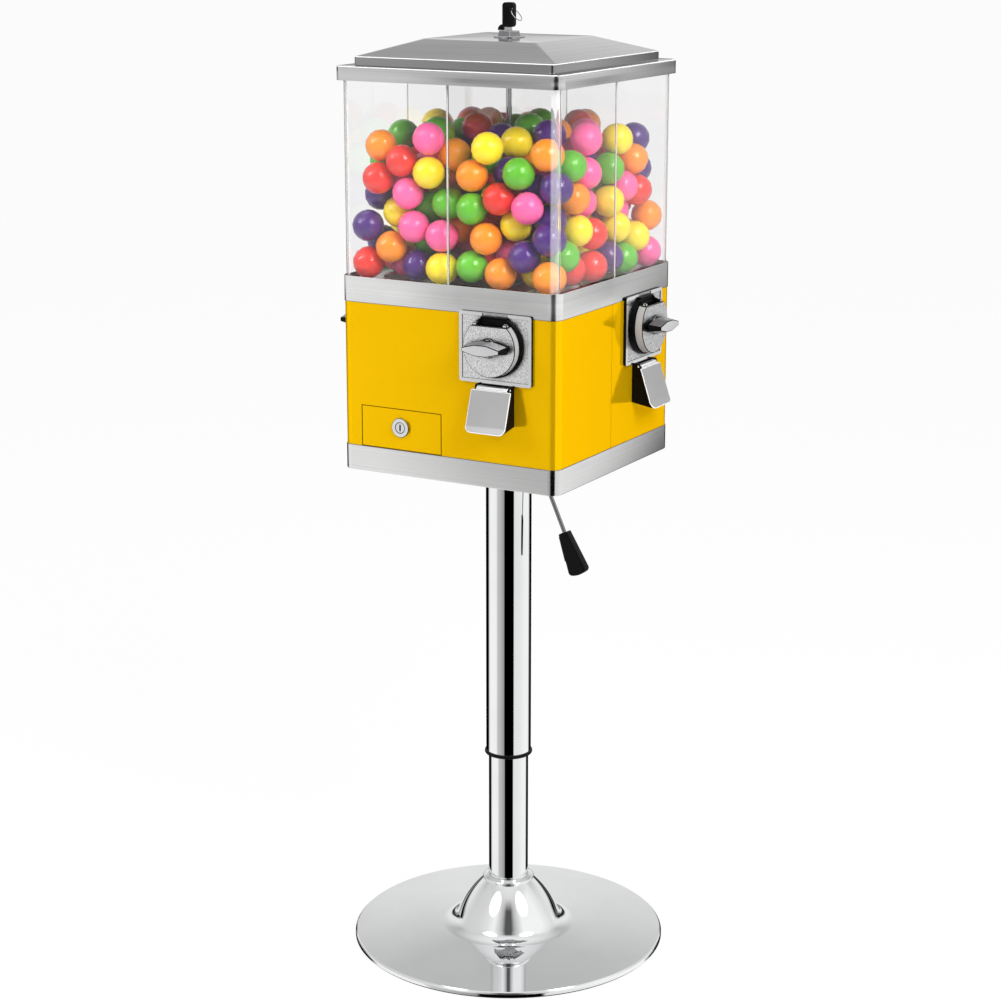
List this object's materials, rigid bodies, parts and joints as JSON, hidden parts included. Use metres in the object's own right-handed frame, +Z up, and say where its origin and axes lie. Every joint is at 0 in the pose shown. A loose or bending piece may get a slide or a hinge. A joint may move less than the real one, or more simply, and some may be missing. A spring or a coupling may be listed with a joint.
{
  "type": "gumball machine",
  "caption": "Square gumball vending machine with a clear hopper, coin dials, hinged flaps, a cash drawer and a locking lid, on a height-adjustable swivel stand with a round base.",
  "frame": {"origin": "floor level at the centre of the round base, on the column's axis", "axes": "+Z up along the column; -Y is the side with the cash drawer; +X is the side to its right"},
  "size_m": [0.395, 0.395, 1.1793],
  "materials": {
    "chrome_plate": "mirror chrome",
    "cast_weight": "rough casting",
    "black_rubber": "matte",
    "plain_steel": "plain zinc-plated steel",
    "black_plastic": "fine matte grain",
    "bright_trim": "satin stainless",
    "yellow_paint": "gloss",
    "clear_sheet": "clear",
    "white_plastic": "satin",
    "cast_chrome": "plated casting with a speckled field",
    "lock_metal": "dull plating",
    "lid_steel": "brushed",
    "flap_steel": "satin with a bright bevel",
    "gum_red": "glossy candy shell",
    "gum_orange": "glossy candy shell",
    "gum_yellow": "glossy candy shell",
    "gum_green": "glossy candy shell",
    "gum_purple": "glossy candy shell",
    "gum_pink": "glossy candy shell"
  },
  "bodies": {
    "stand": {"base_shell": "chrome_plate", "base_weight": "cast_weight", "floor_ring": "black_rubber", "base_collar": "chrome_plate", "lower_tube": "chrome_plate", "tube_foot": "plain_steel", "thrust_bearing": "plain_steel", "guide_bush": "black_plastic"},
    "piston": {"piston_rod": "plain_steel"},
    "head": {"gas_cylinder": "plain_steel", "cover_tube": "chrome_plate", "glide_ring": "black_plastic", "seat_plate": "plain_steel", "seat_bolts": "plain_steel", "floor_plate": "plain_steel", "lower_trim": "bright_trim", "front_shell": "yellow_paint", "rear_shell": "yellow_paint", "upper_trim": "bright_trim", "hopper_plate": "plain_steel", "center_rod": "plain_steel", "dividers": "clear_sheet", "clear_panes": "clear_sheet", "wheel_trays": "white_plastic", "chutes": "black_plastic", "coin_plates": "cast_chrome", "drawer_runner": "plain_steel", "gumballs_red": "gum_red", "gumballs_orange": "gum_orange", "gumballs_yellow": "gum_yellow", "gumballs_green": "gum_green", "gumballs_purple": "gum_purple", "gumballs_pink": "gum_pink"},
    "lever": {"lever_rod": "plain_steel", "lever_grip": "black_plastic"},
    "release_pin": {"release_pin": "plain_steel"},
    "drawer": {"cash_drawer": "yellow_paint", "drawer_lock_body": "lock_metal"},
    "drawer_lock": {"drawer_lock_plug": "lock_metal"},
    "lid": {"lid": "lid_steel", "lid_lock_body": "lock_metal"},
    "lid_key": {"lid_lock_plug": "lock_metal", "lid_key": "black_plastic", "key_ring": "plain_steel"},
    "dial_front": {"dial_front": "cast_chrome", "drive_pinion_front": "white_plastic"},
    "wheel_front": {"wheel_front": "white_plastic"},
    "flap_front": {"flap_front": "flap_steel"},
    "dial_right": {"dial_right": "cast_chrome", "drive_pinion_right": "white_plastic"},
    "wheel_right": {"wheel_right": "white_plastic"},
    "flap_right": {"flap_right": "flap_steel"},
    "dial_back": {"dial_back": "cast_chrome", "drive_pinion_back": "white_plastic"},
    "wheel_back": {"wheel_back": "white_plastic"},
    "flap_back": {"flap_back": "flap_steel"},
    "dial_left": {"dial_left": "cast_chrome", "drive_pinion_left": "white_plastic"},
    "wheel_left": {"wheel_left": "white_plastic"},
    "flap_left": {"flap_left": "flap_steel"}
  },
  "joints": [
    {"name": "swivel", "type": "hinge", "parent": "stand", "child": "piston", "pos_m": [0, 0, 0.0272], "axis": [0, 0, 1], "continuous": true},
    {"name": "lift", "type": "slide", "parent": "piston", "child": "head", "axis": [0, 0, 1], "range_m": [-0.15, 0.05]},
    {"name": "lever", "type": "hinge", "parent": "head", "child": "lever", "pos_m": [0.036, 0, 0.6241], "axis": [0, -1, 0], "range_deg": [0, 5], "stiffness_Nm_per_rad": 2, "springref_deg": -5.73},
    {"name": "release_pin", "type": "slide", "parent": "head", "child": "release_pin", "axis": [0, 0, -1], "range_m": [0, 0.0035]},
    {"name": "drawer", "type": "slide", "parent": "head", "child": "drawer", "axis": [0, -1, 0], "range_m": [0, 0.18]},
    {"name": "drawer_lock", "type": "hinge", "parent": "drawer", "child": "drawer_lock", "pos_m": [-0.06375, -0.1489, 0.6896], "axis": [0, -1, 0], "range_deg": [0, 90]},
    {"name": "lid", "type": "slide", "parent": "head", "child": "lid", "axis": [0, 0, 1], "range_m": [0, 0.12]},
    {"name": "lid_key", "type": "hinge", "parent": "lid", "child": "lid_key", "pos_m": [0, 0, 1.1463], "axis": [0, 0, 1], "range_deg": [0, 90]},
    {"name": "dial_front", "type": "hinge", "parent": "head", "child": "dial_front", "pos_m": [0.0667, -0.1539, 0.8005], "axis": [0, -1, 0], "continuous": true},
    {"name": "wheel_front", "type": "hinge", "parent": "head", "child": "wheel_front", "pos_m": [0.0667, -0.0667, 0.819], "axis": [0, 0, 1], "continuous": true},
    {"name": "flap_front", "type": "hinge", "parent": "head", "child": "flap_front", "pos_m": [0.0667, -0.1539, 0.7516], "axis": [-1, 0, 0], "range_deg": [0, 55]},
    {"name": "dial_right", "type": "hinge", "parent": "head", "child": "dial_right", "pos_m": [0.1539, 0.0667, 0.8005], "axis": [1, 0, 0], "continuous": true},
    {"name": "wheel_right", "type": "hinge", "parent": "head", "child": "wheel_right", "pos_m": [0.0667, 0.0667, 0.819], "axis": [0, 0, 1], "continuous": true},
    {"name": "flap_right", "type": "hinge", "parent": "head", "child": "flap_right", "pos_m": [0.1539, 0.0667, 0.7516], "axis": [0, -1, 0], "range_deg": [0, 55]},
    {"name": "dial_back", "type": "hinge", "parent": "head", "child": "dial_back", "pos_m": [-0.0667, 0.1539, 0.8005], "axis": [0, 1, 0], "continuous": true},
    {"name": "wheel_back", "type": "hinge", "parent": "head", "child": "wheel_back", "pos_m": [-0.0667, 0.0667, 0.819], "axis": [0, 0, 1], "continuous": true},
    {"name": "flap_back", "type": "hinge", "parent": "head", "child": "flap_back", "pos_m": [-0.0667, 0.1539, 0.7516], "axis": [1, 0, 0], "range_deg": [0, 55]},
    {"name": "dial_left", "type": "hinge", "parent": "head", "child": "dial_left", "pos_m": [-0.1539, -0.0667, 0.8005], "axis": [-1, 0, 0], "continuous": true},
    {"name": "wheel_left", "type": "hinge", "parent": "head", "child": "wheel_left", "pos_m": [-0.0667, -0.0667, 0.819], "axis": [0, 0, 1], "continuous": true},
    {"name": "flap_left", "type": "hinge", "parent": "head", "child": "flap_left", "pos_m": [-0.1539, -0.0667, 0.7516], "axis": [0, 1, 0], "range_deg": [0, 55]}
  ],
  "couplings": [
    {"joint": "release_pin", "follows": "lever", "m_per_rad": 0.038},
    {"joint": "wheel_front", "follows": "dial_front", "ratio": -0.25},
    {"joint": "wheel_right", "follows": "dial_right", "ratio": -0.25},
    {"joint": "wheel_back", "follows": "dial_back", "ratio": -0.25},
    {"joint": "wheel_left", "follows": "dial_left", "ratio": -0.25}
  ]
}
